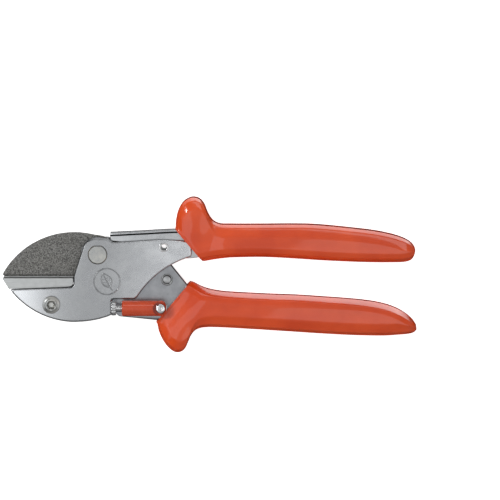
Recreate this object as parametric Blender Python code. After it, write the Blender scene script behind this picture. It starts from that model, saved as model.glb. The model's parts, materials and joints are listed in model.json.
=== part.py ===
"""Anvil pruning shears, closed and latched, lying flat on the rear sides of their two grips.

Everything is drawn in the plane of the shears, in millimetres from the pivot axis: X runs from the
jaw (-X) to the handle ends (+X), Y from the lower handle to the upper one, and Z is the thickness,
counted from the middle plane of the blade. The frame empty puts the bottom centre of the whole
object at the world's origin.
"""

import math

import bmesh
import bpy
from mathutils import Matrix, Vector
from mathutils.geometry import tessellate_polygon

MM = 0.001

# Where the pivot axis and the blade's middle plane lie, from the object's bottom centre.
PIVOT_X = -56.7
PIVOT_Y = 10.6
MID_PLANE_Z = 9.0

# Layers of the sandwich, counted from the middle plane.
BLADE_HALF = 1.5
FLANGE_IN = 1.7
CORE_HALF = 3.7
CHEEK_IN = 3.85
CHEEK_OUT = 5.85
GRIP_HALF = 9.0
UPPER_GRIP_FRONT_HALF = 7.6
LOWER_GRIP_FRONT_HALF = 5.8
GRIP_ROUND_Y = 4.6
GRIP_ROUND_Z = 6.2
FRONT_STATIONS = 20
END_STATIONS = 8
SHEET = CORE_HALF - FLANGE_IN
EDGE_BREAK = 0.3
GAP = 0.1

# Driving places, as (x, y) from the pivot axis.
ANVIL_SCREW_AT = (-23.5, -25.4)
CHEEK_RIVET_AT = (33.5, 3.8)
BLADE_PIN_AT = (35.0, -12.9)
LATCH_AT = (31.8, -26.9)
SPRING_AT = (24.6, 3.3)

# Radii.
BLADE_BACK_R = 41.8
BLADE_BACK_CENTRE = (-12.0, -30.9)
JAW_R = 41.5
JAW_CENTRE = (-11.2, 7.2)
BELLY_R = 49.4
BELLY_CENTRE = (-11.2, 15.2)
THROAT_R = 47.9
THROAT_CENTRE = (60.5, -47.1)
PIVOT_HEAD_R = 4.6
PIVOT_SHANK_R = 4.0
BUSH_IN_R = 4.06
BUSH_OUT_R = 5.6
EYE_R = 8.6
ANVIL_HEAD_R = 4.45
ANVIL_SHANK_R = 2.4
RIVET_BORE_R = 1.5
RIVET_SHANK_R = 2.0
RIVET_HEAD_R = 2.45
PIN_R = 2.9
LATCH_SHANK_R = 1.6
LATCH_HEAD_R = 2.5
BARREL_R = 3.95
BOLT_NECK_R = 1.95
BOLT_HEAD_R = 3.7
SPRING_WIRE_R = 0.45
SPRING_COIL_R = 3.1
SPRING_COIL_Z = 1.15

# Heights of the latch, counted from the middle plane.
BARREL_AXIS_Z = 8.5
BARREL_BACK_Z = 6.2
COUNTERBORE_Z = 9.6

BLADE_EDGE_Y = -11.4
ANVIL_TOP_Y = -11.9
ANVIL_FOOT_Y = -16.7


# ---------------------------------------------------------------- outlines


def arc(centre, radius, start, end, steps):
    """Points on a circle from start to end, in degrees."""
    points = []
    for i in range(steps + 1):
        angle = math.radians(start + (end - start) * i / steps)
        points.append((centre[0] + radius * math.cos(angle), centre[1] + radius * math.sin(angle)))
    return points


def circle(centre, radius, steps=24):
    return arc(centre, radius, 0, 360 - 360 / steps, steps - 1)


def rounded(corner, before, after, radius, steps=3):
    """The corner between two neighbours, replaced by a curve that starts and ends at radius from it."""
    corner = Vector(corner)
    start = corner + (Vector(before) - corner).normalized() * radius
    end = corner + (Vector(after) - corner).normalized() * radius
    points = []
    for i in range(steps + 1):
        t = i / steps
        points.append(tuple(start * (1 - t) ** 2 + corner * (2 * t * (1 - t)) + end * t**2))
    return points


def polygon(corners):
    """An outline from (x, y) corners, or (x, y, r) where the corner is rounded."""
    points = []
    count = len(corners)
    for i, corner in enumerate(corners):
        if len(corner) == 2:
            points.append(corner)
            continue
        before = corners[i - 1][:2]
        after = corners[(i + 1) % count][:2]
        points += rounded(corner[:2], before, after, corner[2])
    return points


def smooth(points, steps):
    """A Catmull-Rom curve through the points, open at both ends."""
    vectors = [Vector(p) for p in points]
    padded = [vectors[0] * 2 - vectors[1], *vectors, vectors[-1] * 2 - vectors[-2]]
    found = []
    for i in range(1, len(padded) - 2):
        p0, p1, p2, p3 = padded[i - 1 : i + 3]
        for k in range(steps):
            t = k / steps
            found.append(
                0.5
                * (
                    p1 * 2
                    + (p2 - p0) * t
                    + (p0 * 2 - p1 * 5 + p2 * 4 - p3) * t**2
                    + (p1 * 3 - p0 - p2 * 3 + p3) * t**3
                )
            )
    return [tuple(p) for p in [*found, vectors[-1]]]


def area(points):
    return sum(a[0] * b[1] - b[0] * a[1] for a, b in zip(points, points[1:] + points[:1])) / 2


def anticlockwise(points):
    return list(points) if area(points) > 0 else list(reversed(points))


def shrunk(points, depth):
    """An anticlockwise outline moved inwards by depth."""
    moved = []
    count = len(points)
    for i, point in enumerate(points):
        before = (Vector(point) - Vector(points[i - 1])).normalized()
        after = (Vector(points[(i + 1) % count]) - Vector(point)).normalized()
        normal = Vector((-before.y - after.y, before.x + after.x)).normalized()
        stretch = max(normal.dot(Vector((-before.y, before.x))), 0.5)
        moved.append(tuple(Vector(point) + normal * (depth / stretch)))
    return moved


# ---------------------------------------------------------------- meshes


def mesh_of(name, vertices, faces):
    mesh = bpy.data.meshes.new(name)
    mesh.from_pydata([Vector(v) * MM for v in vertices], [], faces)
    shaped = bmesh.new()
    shaped.from_mesh(mesh)
    bmesh.ops.recalc_face_normals(shaped, faces=shaped.faces)
    shaped.to_mesh(mesh)
    shaped.free()
    mesh.shade_smooth()
    mesh.set_sharp_from_angle(angle=math.radians(30))
    return mesh


def plate(name, outline, low, high, holes=(), edge=EDGE_BREAK):
    """A flat plate with its outer edges broken, between two heights."""
    outline = anticlockwise(outline)
    inner = shrunk(outline, edge) if edge else outline
    levels = [(inner, low), (outline, low + edge), (outline, high - edge), (inner, high)]
    if not edge:
        levels = [(outline, low), (outline, high)]
    vertices = [(x, y, z) for points, z in levels for x, y in points]
    count = len(outline)
    faces = []
    for level in range(len(levels) - 1):
        for i in range(count):
            here = level * count + i
            following = level * count + (i + 1) % count
            faces.append((here, following, following + count, here + count))
    starts = []
    for hole in holes:
        starts.append(len(vertices))
        vertices += [(x, y, low) for x, y in hole] + [(x, y, high) for x, y in hole]
        for i in range(len(hole)):
            here = starts[-1] + i
            following = starts[-1] + (i + 1) % len(hole)
            faces.append((here, here + len(hole), following + len(hole), following))
    loops = [[Vector((x, y, 0)) for x, y in points] for points in [inner, *holes]]
    for bottom in (True, False):
        index = list(range(count)) if bottom else list(range((len(levels) - 1) * count, len(levels) * count))
        for start, hole in zip(starts, holes):
            index += range(start, start + len(hole)) if bottom else range(start + len(hole), start + 2 * len(hole))
        for a, b, c in tessellate_polygon(loops):
            faces.append((index[a], index[b], index[c]))
    return mesh_of(name, vertices, faces)


def turned(name, profile, steps=24, axis="Z"):
    """A solid of revolution from (radius, height) points, listed from one end to the other.

    A profile that ends on the axis is a solid, and one that stays off it closes on itself as a tube.
    """
    vertices = []
    rings = []
    for radius, height in profile:
        if radius == 0:
            rings.append([len(vertices)])
            vertices.append((0, 0, height))
            continue
        rings.append(list(range(len(vertices), len(vertices) + steps)))
        vertices += [(x, y, height) for x, y in circle((0, 0), radius, steps)]
    faces = []
    if profile[-1][0] > 0:
        rings.append(rings[0])
    for lower, upper in zip(rings, rings[1:]):
        for i in range(steps):
            following = (i + 1) % steps
            corners = [lower[i % len(lower)], lower[following % len(lower)]]
            corners += [upper[following % len(upper)], upper[i % len(upper)]]
            face = list(dict.fromkeys(corners))
            if len(face) > 2:
                faces.append(face)
    if axis == "X":
        vertices = [(z, x, y) for x, y, z in vertices]
    return mesh_of(name, vertices, faces)


def hexagonal(name, across_flats, low, high, bore):
    """A hexagon nut with its corners turned off."""
    corner = across_flats / math.sqrt(3)
    points = circle((0, 0), corner, 6)
    return plate(name, points, low, high, [circle((0, 0), bore)], 0.35)


def block(name, low, high):
    x0, y0, z0 = low
    x1, y1, z1 = high
    return plate(name, [(x0, y0), (x1, y0), (x1, y1), (x0, y1)], z0, z1, edge=0)


# ---------------------------------------------------------------- scene


def material(name, colour, roughness, metallic):
    made = bpy.data.materials.new(name)
    made.use_nodes = True
    shader = made.node_tree.nodes["Principled BSDF"]
    shader.inputs["Base Color"].default_value = (*colour, 1)
    shader.inputs["Roughness"].default_value = roughness
    shader.inputs["Metallic"].default_value = metallic
    return made


def empty(name, place, parent=None):
    made = bpy.data.objects.new(name, None)
    made.location = Vector(place) * MM
    made.parent = parent
    bpy.context.scene.collection.objects.link(made)
    return made


def piece(mesh, surface, parent, at=(0, 0)):
    made = bpy.data.objects.new(mesh.name, mesh)
    made.location = Vector((*at, 0)) * MM
    made.parent = parent
    mesh.materials.append(surface)
    bpy.context.scene.collection.objects.link(made)
    return made


def joined(body, other, operation):
    """Applies a Boolean between a piece and a mesh drawn in the piece's own frame."""
    helper = bpy.data.objects.new(f"{body.name}_{operation.lower()}_{len(body.modifiers)}", other)
    helper.hide_render = True
    helper.display_type = "WIRE"
    helper.parent = body
    bpy.context.scene.collection.objects.link(helper)
    modifier = body.modifiers.new(helper.name, "BOOLEAN")
    modifier.operation = operation
    modifier.object = helper
    modifier.solver = "EXACT"


# ---------------------------------------------------------------- anvil lever


def cheek_outline():
    """From the jaw's tip over the anvil's seat, the shoulder and the tail, and back along the belly."""
    seat = [(-44.0, -17.7), *rounded((-12.1, -16.5), (-40, -17.5), (-12.1, -12), 2.4)]
    nose = [(-12.1, -11.0), (-7.3, 4.0), (-5.9, 6.1), (-4.0, 7.4), (-1.2, 8.25)]
    shoulder = polygon([(-1, 8.25), (5.9, 8.25, 1.2), (7.3, 6.45, 1.2), (9.5, 6.4)])[1:-1]
    back = smooth([(9.5, 6.4), (20, 7.0), (32, 7.65), (43.2, 7.1)], 3)
    tail = [*rounded((47.5, 6.5), (43.2, 7.1), (47.5, 0), 1.2), (47.5, 0.2), (47.1, -1.0)]
    throat = arc(THROAT_CENTRE, THROAT_R, 107, 148, 12)
    notch = polygon([(20, -21), (18.9, -22.7, 1.0), (7.0, -22.7, 1.2), (7.0, -30.7, 1.0), (3, -32)])[1:-1]
    belly = arc(BELLY_CENTRE, BELLY_R, -71, -88, 6)
    jaw = arc(JAW_CENTRE, JAW_R, -91, -142.5, 14)
    return seat + nose + shoulder + back + tail + throat + notch + belly + jaw


def flat_sided(radius, chord):
    """A circle with its top cut off at the height of the chord."""
    start = math.degrees(math.asin(chord / radius))
    return arc((0, 0), radius, 180 - start, 360 + start, 28)


def front_cheek(surface, parent):
    holes = [
        flat_sided(PIVOT_HEAD_R + 0.2, 4.5),
        circle(CHEEK_RIVET_AT, RIVET_SHANK_R + GAP, 16),
        circle(ANVIL_SCREW_AT, ANVIL_SHANK_R + GAP),
    ]
    piece(plate("front_cheek", cheek_outline(), CHEEK_IN, CHEEK_OUT, holes), surface, parent)


def rear_cheek(surface, parent):
    holes = [
        circle((0, 0), PIVOT_SHANK_R + GAP),
        circle(CHEEK_RIVET_AT, RIVET_SHANK_R + GAP, 16),
        circle(ANVIL_SCREW_AT, ANVIL_SHANK_R + GAP),
    ]
    piece(plate("rear_cheek", cheek_outline(), -CHEEK_OUT, -CHEEK_IN, holes), surface, parent)


def anvil(surface, parent):
    """A bar that lies on both cheeks, with a foot between them that the screw holds."""
    bar = polygon(
        [
            (-48.1, ANVIL_TOP_Y - 0.4),
            (-47.8, ANVIL_TOP_Y),
            (-12.4, ANVIL_TOP_Y, 0.4),
            (-12.4, ANVIL_FOOT_Y + 0.6, 2.2),
            (-44.9, -17.4),
        ]
    )
    foot = [(-43.0, -14), (-14.4, -14), (-14.4, -22), (-18.6, -29.2), (-24, -30.4), (-33, -26)]
    made = piece(plate("anvil", bar, -CHEEK_OUT, CHEEK_OUT, edge=0.25), surface, parent)
    hole = [circle(ANVIL_SCREW_AT, ANVIL_SHANK_R + GAP)]
    joined(made, plate("anvil_foot", foot, -CORE_HALF, CORE_HALF, hole, 0), "UNION")


def anvil_screw(surface, parent):
    top = CHEEK_OUT + 2.2
    seat = CHEEK_OUT + GAP / 2
    profile = [
        (0, -CHEEK_OUT - 2.9),
        (ANVIL_SHANK_R - 0.3, -CHEEK_OUT - 2.9),
        (ANVIL_SHANK_R, -CHEEK_OUT - 2.6),
        (ANVIL_SHANK_R, seat),
        (ANVIL_HEAD_R, seat),
        (ANVIL_HEAD_R, seat + 0.6),
        (ANVIL_HEAD_R - 0.5, seat + 1.3),
        (ANVIL_HEAD_R - 1.5, top - 0.15),
        (2.3, top),
        (2.05, top - 0.3),
        (2.05, top - 1.7),
        (0, top - 1.9),
    ]
    piece(turned("anvil_screw", profile), surface, parent, ANVIL_SCREW_AT)


def pivot_bolt(surface, parent):
    """The head is flush in the front cheek, and its flat keeps it from turning."""
    profile = [
        (0, -CHEEK_OUT - 3.05),
        (PIVOT_SHANK_R - 0.5, -CHEEK_OUT - 3.05),
        (PIVOT_SHANK_R, -CHEEK_OUT - 2.6),
        (PIVOT_SHANK_R, CHEEK_IN),
        (PIVOT_HEAD_R, CHEEK_IN),
        (PIVOT_HEAD_R, CHEEK_OUT - 0.1),
        (PIVOT_HEAD_R - 0.25, CHEEK_OUT + 0.15),
        (0, CHEEK_OUT + 0.15),
    ]
    made = piece(turned("pivot_bolt", profile, 48), surface, parent)
    joined(made, block("flat_cutter", (-6, 4.3, CHEEK_IN - 1), (6, 8, CHEEK_OUT + 2)), "DIFFERENCE")


def cheek_rivet(surface, parent):
    """A tubular rivet, open from side to side, with a rolled collar outside each cheek."""
    seat = CHEEK_OUT + GAP
    collar = [(RIVET_HEAD_R, 0), (RIVET_HEAD_R, 0.12), (2.25, 0.3), (1.75, 0.3), (RIVET_BORE_R, 0.05)]
    front = [(radius, seat + height) for radius, height in collar]
    rear = [(radius, -seat - height) for radius, height in reversed(collar)]
    profile = [*rear, (RIVET_SHANK_R, -seat), (RIVET_SHANK_R, seat), *front]
    piece(turned("cheek_rivet", profile, 16), surface, parent, CHEEK_RIVET_AT)


def upper_core_back():
    points = [(6.4, 10.9), (24, 11.8), (40, 12.6), (58, 12.3), (90, 12.0), (120, 11.0), (142, 8.2)]
    return smooth(points, 3)


def upper_core_outline():
    end = [(153.5, 4.6), (154.5, 0.4), (152, -1.2)]
    bottom = smooth([(140, -1.2), (118, -0.2), (90, 1.2), (66, 1.0), (50, -1.7)], 3)
    root = polygon([(60, 0), (47, -2.1, 1.0), (36, -1.8, 1.5), (14, 5.9, 2), (6.4, 6.9), (6.4, 9)])[1:-1]
    return upper_core_back() + end + bottom + root


def upper_core(surface, parent):
    """A channel of folded sheet, closed along its upper edge, between the cheeks and inside the grip."""
    made = piece(plate("upper_core", upper_core_outline(), -CORE_HALF, CORE_HALF), surface, parent)
    hollow = [(x, y - SHEET) for x, y in upper_core_back()]
    hollow = [(-2, hollow[0][1]), *hollow, (151, 3.2), (152, 0), (152, -30), (-2, -30)]
    joined(made, plate("upper_hollow", hollow, -FLANGE_IN, FLANGE_IN, edge=0), "DIFFERENCE")
    hole = circle(CHEEK_RIVET_AT, RIVET_SHANK_R + GAP, 16)
    joined(made, plate("upper_hole", hole, -8, 8, edge=0), "DIFFERENCE")


# ---------------------------------------------------------------- blade lever


def blade(surface, parent):
    """A straight edge, a round back, an eye for the pivot and a tail that the pin holds."""
    tail_angle = math.degrees(math.atan2(BLADE_PIN_AT[1], BLADE_PIN_AT[0]))
    outline = [
        (-48.1, -10.6),
        *arc(BLADE_BACK_CENTRE, BLADE_BACK_R, 149.5, 76, 20),
        *arc((0, 0), 9.3, 78, tail_angle + 72, 5),
        *arc(BLADE_PIN_AT, 5.0, tail_angle + 72, tail_angle - 72, 8),
        (9, -9.8),
        (1.0, -10.4),
        (-3.5, BLADE_EDGE_Y),
        (-47.4, BLADE_EDGE_Y),
    ]
    holes = [circle((0, 0), BUSH_OUT_R + 0.05, 48), circle(BLADE_PIN_AT, 2.5 + GAP)]
    made = piece(plate("blade", outline, -BLADE_HALF, BLADE_HALF, holes, 0.2), surface, parent)
    for side in (-1, 1):
        wedge = [(BLADE_EDGE_Y - 1, side * 0.08), (BLADE_EDGE_Y - 1, side * 3), (BLADE_EDGE_Y + 3.4, side * 3)]
        vertices = [(x, y, z) for x in (-60, -4.5) for y, z in wedge]
        faces = [(0, 1, 2), (3, 5, 4), (0, 3, 4, 1), (1, 4, 5, 2), (2, 5, 3, 0)]
        joined(made, mesh_of(f"wedge_{side}", vertices, faces), "DIFFERENCE")


def lower_core_back():
    return smooth([(142, -38.6), (112, -37.5), (76, -35.3), (52, -34.4), (31.5, -33.8)], 3)


def lower_core_outline():
    eye = arc((0, 0), EYE_R, 200, 42, 14)
    throat = polygon([(6.4, 5.7), (35.4, -3.6, 1.6), (46.4, -17.4), (47, -18)])[1:-2]
    top = smooth([(46.4, -17.4), (60, -21.6), (90, -23.6), (120, -25.2), (142, -28.2)], 3)
    end = [(154, -32.6), (156, -36.4), (153, -38.2)]
    front = polygon([(31, -34), (10.4, -31.5, 1.2), (4.2, -23.5, 3), (-8.1, -2.9)])[1:-1]
    return eye + throat + top + end + lower_core_back() + front


def lower_core(surface, parent):
    """A channel of folded sheet, closed along its lower edge, with an eye each side of the blade."""
    made = piece(plate("lower_core", lower_core_outline(), -CORE_HALF, CORE_HALF), surface, parent)
    floor = [(x, y + SHEET) for x, y in reversed(lower_core_back())]
    hollow = [(-30, -31), (12.5, -29.4), *floor, (152, -36), (153.5, -32), (153.5, 30), (-30, 30)]
    joined(made, plate("lower_hollow", hollow, -FLANGE_IN, FLANGE_IN, edge=0), "DIFFERENCE")
    joined(made, plate("eye_hole", circle((0, 0), BUSH_OUT_R + 0.05, 48), -8, 8, edge=0), "DIFFERENCE")
    joined(made, plate("pin_hole", circle(BLADE_PIN_AT, PIN_R + GAP), -8, 8, edge=0), "DIFFERENCE")
    joined(made, plate("latch_hole", circle(LATCH_AT, LATCH_SHANK_R + GAP), -8, 8, edge=0), "DIFFERENCE")


def pivot_bush(surface, parent):
    outer = circle((0, 0), BUSH_OUT_R, 48)
    inner = circle((0, 0), BUSH_IN_R, 48)
    piece(plate("pivot_bush", outer, -CORE_HALF, CORE_HALF, [inner], 0.2), surface, parent)


def blade_pin(surface, parent):
    """Flush with the core on both sides, with a ring turned into its front end."""
    waist = BLADE_HALF + 0.05
    profile = [
        (0, -CORE_HALF),
        (PIN_R, -CORE_HALF),
        (PIN_R, -waist),
        (2.5, -waist),
        (2.5, waist),
        (PIN_R, waist),
        (PIN_R, CORE_HALF - 0.1),
        (PIN_R - 0.25, CORE_HALF - 0.1),
        (2.15, CORE_HALF - 0.5),
        (1.95, CORE_HALF + 0.05),
        (0, CORE_HALF + 0.05),
    ]
    piece(turned("blade_pin", profile), surface, parent, BLADE_PIN_AT)


def latch_screw(surface, parent):
    top = COUNTERBORE_Z + 1.9
    profile = [
        (0, -CORE_HALF - 2.9),
        (LATCH_SHANK_R, -CORE_HALF - 2.9),
        (LATCH_SHANK_R, COUNTERBORE_Z + 0.05),
        (LATCH_HEAD_R, COUNTERBORE_Z + 0.05),
        (LATCH_HEAD_R, top - 0.6),
        (LATCH_HEAD_R - 0.6, top),
        (1.0, top),
        (0.9, top - 0.9),
        (0, top - 1.0),
    ]
    piece(turned("latch_screw", profile), surface, parent, LATCH_AT)


def latch_spacer(surface, parent):
    outer = circle((0, 0), 3.4)
    inner = circle((0, 0), LATCH_SHANK_R + GAP)
    mesh = plate("latch_spacer", outer, CORE_HALF + 0.05, BARREL_BACK_Z - GAP, [inner], 0.2)
    piece(mesh, surface, parent, LATCH_AT)


# ---------------------------------------------------------------- latch


def raised(height):
    return Matrix.Translation(Vector((0, 0, height * MM)))


def latch_barrel(surface, parent):
    """A round barrel with a flat back and a spot-faced eye, bored for the bolt."""
    left = 12.4 - LATCH_AT[0]
    right = 34.7 - LATCH_AT[0]
    profile = [(0, left), (BARREL_R - 0.5, left), (BARREL_R - 0.1, left + 0.2), (BARREL_R, left + 0.6)]
    for i in range(6):
        angle = math.radians(18 * i)
        profile.append((BARREL_R * math.cos(angle) ** 0.55, right - 2.4 + 2.4 * math.sin(angle)))
    profile.append((0, right))
    mesh = turned("latch_barrel", profile, 28, "X")
    mesh.transform(raised(BARREL_AXIS_Z))
    made = piece(mesh, surface, parent)
    joined(made, block("back_cutter", (-30, -9, 0), (9, 9, BARREL_BACK_Z)), "DIFFERENCE")
    seat = circle((-0.6, 0.1), LATCH_HEAD_R + 0.75)
    joined(made, plate("seat_cutter", seat, COUNTERBORE_Z, 20, edge=0), "DIFFERENCE")
    joined(made, plate("eye_cutter", circle((0, 0), LATCH_SHANK_R + 0.06), 0, 20, edge=0), "DIFFERENCE")
    bore = turned("bore_cutter", [(0, left - 2), (2.05, left - 2), (2.05, -5.2), (0, -5.2)], 24, "X")
    bore.transform(raised(BARREL_AXIS_Z))
    joined(made, bore, "DIFFERENCE")


def latch_bolt(surface, parent):
    """Its head leans on the notch of the cheeks; the rear side is flat, so that it slides over them."""
    start = 6.8 - LATCH_AT[0]
    neck = 9.4 - LATCH_AT[0]
    profile = [
        (0, start),
        (BOLT_HEAD_R - 0.4, start),
        (BOLT_HEAD_R, start + 0.4),
        (BOLT_HEAD_R, neck - 0.3),
        (BOLT_HEAD_R - 0.3, neck),
        (BOLT_NECK_R, neck),
        (BOLT_NECK_R, -6.0),
        (0, -6.0),
    ]
    mesh = turned("latch_bolt", profile, 24, "X")
    mesh.transform(raised(BARREL_AXIS_Z))
    made = piece(mesh, surface, parent)
    joined(made, block("head_cutter", (-30, -9, 0), (0, 9, BARREL_BACK_Z)), "DIFFERENCE")


# ---------------------------------------------------------------- spring and grips


def spring(surface, parent):
    """Two turns round, with a leg to the upper core's back and a leg to the lower core's floor."""
    points = [(38.6, 8.9, SPRING_COIL_Z), (32.0, 7.95, SPRING_COIL_Z)]
    turns = 2.35
    steps = 34
    for i in range(steps + 1):
        angle = math.radians(97 + 360 * turns * i / steps)
        x = SPRING_AT[0] + SPRING_COIL_R * math.cos(angle)
        y = SPRING_AT[1] + SPRING_COIL_R * math.sin(angle)
        points.append((x, y, SPRING_COIL_Z * (1 - 2 * i / steps)))
    points += [(30.5, -2.6, -SPRING_COIL_Z), (36.9, -5.6, -SPRING_COIL_Z)]
    made = bpy.data.curves.new("spring", "CURVE")
    made.dimensions = "3D"
    made.bevel_depth = SPRING_WIRE_R * MM
    made.bevel_resolution = 2
    made.use_fill_caps = True
    line = made.splines.new("POLY")
    line.points.add(len(points) - 1)
    for target, point in zip(line.points, points):
        target.co = (*(Vector(point) * MM), 1)
    piece(made, surface, parent)


def eased(share):
    share = min(1, max(0, share))
    return share * share * (3 - 2 * share)


def grip(name, near, far, front_half, surface, parent, core):
    """A skin lofted between its two long edges, thinner towards both ends, with a pocket for its core."""
    one = smooth(near, 2)
    other = smooth(far, 2)
    sections = []
    last = len(one) - 1
    for i, (a, b) in enumerate(zip(one, other)):
        left = min(1, (last - i) / END_STATIONS)
        thickness = front_half + (GRIP_HALF - front_half) * eased(i / FRONT_STATIONS)
        thickness *= max(0.32, math.sqrt(1 - (1 - left) ** 2.4))
        middle = (Vector(a) + Vector(b)) / 2
        across = (Vector(b) - Vector(a)) / 2
        half = across.length
        direction = across.normalized()
        ring = []
        for quarter in range(4):
            for k in range(6):
                angle = math.radians(90 * quarter + 18 * k)
                side = 1 if quarter in (0, 3) else -1
                up = 1 if quarter < 2 else -1
                reach_y = min(GRIP_ROUND_Y, half * 0.95)
                reach_z = min(GRIP_ROUND_Z, thickness * 0.95)
                along = side * (half - reach_y) + reach_y * math.cos(angle)
                height = up * (thickness - reach_z) + reach_z * math.sin(angle)
                point = middle + direction * along
                ring.append((point.x, point.y, height))
        sections.append(ring)
    count = len(sections[0])
    vertices = [v for ring in sections for v in ring]
    faces = [tuple(reversed(range(count)))]
    for s in range(len(sections) - 1):
        for i in range(count):
            here = s * count + i
            following = s * count + (i + 1) % count
            faces.append((here, following, following + count, here + count))
    faces.append(tuple(range((len(sections) - 1) * count, len(sections) * count)))
    made = piece(mesh_of(name, vertices, faces), surface, parent)
    pocket = shrunk(anticlockwise(core), -2 * GAP)
    joined(made, plate(f"{name}_pocket", pocket, -CORE_HALF - GAP, CORE_HALF + GAP, edge=0), "DIFFERENCE")
    return made


def upper_grip(surface, parent):
    top = [
        (39.8, 12.8), (40.2, 17.2), (41.3, 21.6), (43.3, 25.6), (45.9, 28.0), (48.8, 28.8), (51.7, 27.8),
        (54.0, 25.0), (55.5, 21.2), (57.9, 17.3), (61.5, 15.3), (67, 15.0), (84, 15.0), (100, 15.1),
        (112, 14.7), (128.5, 13.1), (140.6, 11.6), (149.5, 9.7), (155.0, 7.8), (158.3, 5.9), (160.1, 3.9),
        (160.7, 2.0),
    ]  # fmt: skip
    bottom = [
        (53.1, -3.6), (53.5, -3.55), (54.0, -3.45), (54.6, -3.35), (55.3, -3.2), (56.1, -3.05), (57.0, -2.9),
        (58.1, -2.7), (59.5, -2.5), (61.4, -2.2), (64.5, -1.85), (69, -1.5), (84, -1.3), (100, -2.1),
        (112, -2.9), (128.5, -3.7), (140.6, -4.0), (149.5, -4.0), (155.0, -3.8), (158.3, -2.9), (160.0, -1.0),
        (160.6, 1.0),
    ]  # fmt: skip
    made = grip("upper_grip", bottom, top, UPPER_GRIP_FRONT_HALF, surface, parent, upper_core_outline())
    tail = [(30, -3), (47.8, -1.2), (47.8, 6.9), (46.6, 7.3), (43.2, 7.5), (30, 8)]
    joined(made, plate("tail_pocket", tail, -CHEEK_OUT - GAP, CHEEK_OUT + GAP, edge=0), "DIFFERENCE")


def lower_grip(surface, parent):
    top = [
        (47.1, -13.9), (47.7, -14.15), (48.3, -14.45), (49.0, -14.8), (49.7, -15.2), (50.5, -15.6),
        (51.4, -16.1), (52.5, -16.6), (54.0, -17.2), (56.2, -17.9), (60, -18.7), (66, -19.4), (84, -20.4),
        (100, -21.0), (112.4, -21.8), (127.5, -22.9), (137.6, -24.0), (145.5, -25.6), (151.5, -27.8),
        (156.0, -30.4), (159.2, -33.1), (161.2, -36.0),
    ]  # fmt: skip
    bottom = [
        (30.5, -34.5), (31.9, -39.4), (33.8, -44.1), (36.2, -47.7), (39.0, -49.8), (41.8, -49.7),
        (44.1, -47.9), (45.7, -44.5), (47.3, -41.0), (49.8, -38.4), (54, -37.2), (62, -37.2), (80, -38.2),
        (97.2, -39.3), (112.4, -40.3), (127.5, -41.1), (138, -41.4), (146, -41.4), (152, -41.0),
        (156.6, -40.7), (159.9, -40.1), (161.5, -38.7),
    ]  # fmt: skip
    grip("lower_grip", bottom, top, LOWER_GRIP_FRONT_HALF, surface, parent, lower_core_outline())


def nut(name, across_flats, high, thickness, bore, surface, parent, at=(0, 0)):
    """A hexagon nut whose upper face is at the given height."""
    piece(hexagonal(name, across_flats, high - thickness, high, bore), surface, parent, at)


def build():
    for obj in list(bpy.data.objects):
        bpy.data.objects.remove(obj, do_unlink=True)

    nickel = material("satin_nickel", (0.62, 0.63, 0.64), 0.28, 1.0)
    polished = material("polished_steel", (0.72, 0.73, 0.74), 0.15, 1.0)
    zinc = material("zinc_plated_steel", (0.6, 0.62, 0.63), 0.3, 1.0)
    coated = material("coated_blade", (0.18, 0.18, 0.17), 0.6, 0.2)
    light_metal = material("anvil_alloy", (0.75, 0.76, 0.76), 0.4, 1.0)
    bronze = material("bush_bronze", (0.6, 0.42, 0.2), 0.35, 1.0)
    orange_paint = material("orange_latch", (0.66, 0.1, 0.04), 0.3, 0.0)
    orange_dip = material("orange_grip", (0.6, 0.085, 0.035), 0.22, 0.0)

    frame = empty("frame", (PIVOT_X, PIVOT_Y, MID_PLANE_Z))
    anvil_lever = empty("anvil_lever", (0, 0, 0), frame)
    blade_lever = empty("blade_lever", (0, 0, 0), anvil_lever)
    latch = empty("latch", (*LATCH_AT, 0), blade_lever)

    front_cheek(nickel, anvil_lever)
    rear_cheek(nickel, anvil_lever)
    anvil(light_metal, anvil_lever)
    anvil_screw(zinc, anvil_lever)
    nut("anvil_nut", 8, -CHEEK_OUT - GAP, 2.4, ANVIL_SHANK_R + 0.06, zinc, anvil_lever, ANVIL_SCREW_AT)
    pivot_bolt(zinc, anvil_lever)
    nut("pivot_nut", 13, -CHEEK_OUT - GAP, 2.7, PIVOT_SHANK_R + 0.06, zinc, anvil_lever)
    cheek_rivet(polished, anvil_lever)
    upper_core(nickel, anvil_lever)
    upper_grip(orange_dip, anvil_lever)
    spring(polished, anvil_lever)

    blade(coated, blade_lever)
    lower_core(nickel, blade_lever)
    pivot_bush(bronze, blade_lever)
    blade_pin(zinc, blade_lever)
    lower_grip(orange_dip, blade_lever)
    latch_screw(polished, blade_lever)
    latch_spacer(zinc, blade_lever)
    nut("latch_nut", 5.5, -CORE_HALF - GAP, 2.4, LATCH_SHANK_R + 0.06, zinc, blade_lever, LATCH_AT)

    latch_barrel(orange_paint, latch)
    latch_bolt(zinc, latch)


build()
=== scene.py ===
"""The looks of the pruning shears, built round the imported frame.

Shapes are drawn in millimetres from the pivot axis, as X, Y in the plane of the shears and Z counted
from the blade's middle plane, and are then moved to the place of the pivot joint in the frame.
"""

import json
from math import asin, atan2, cos, degrees, exp, pi, radians, sin, sqrt, tan

import bmesh
import bpy
from mathutils import Matrix, Vector
from mathutils.geometry import tessellate_polygon


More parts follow.
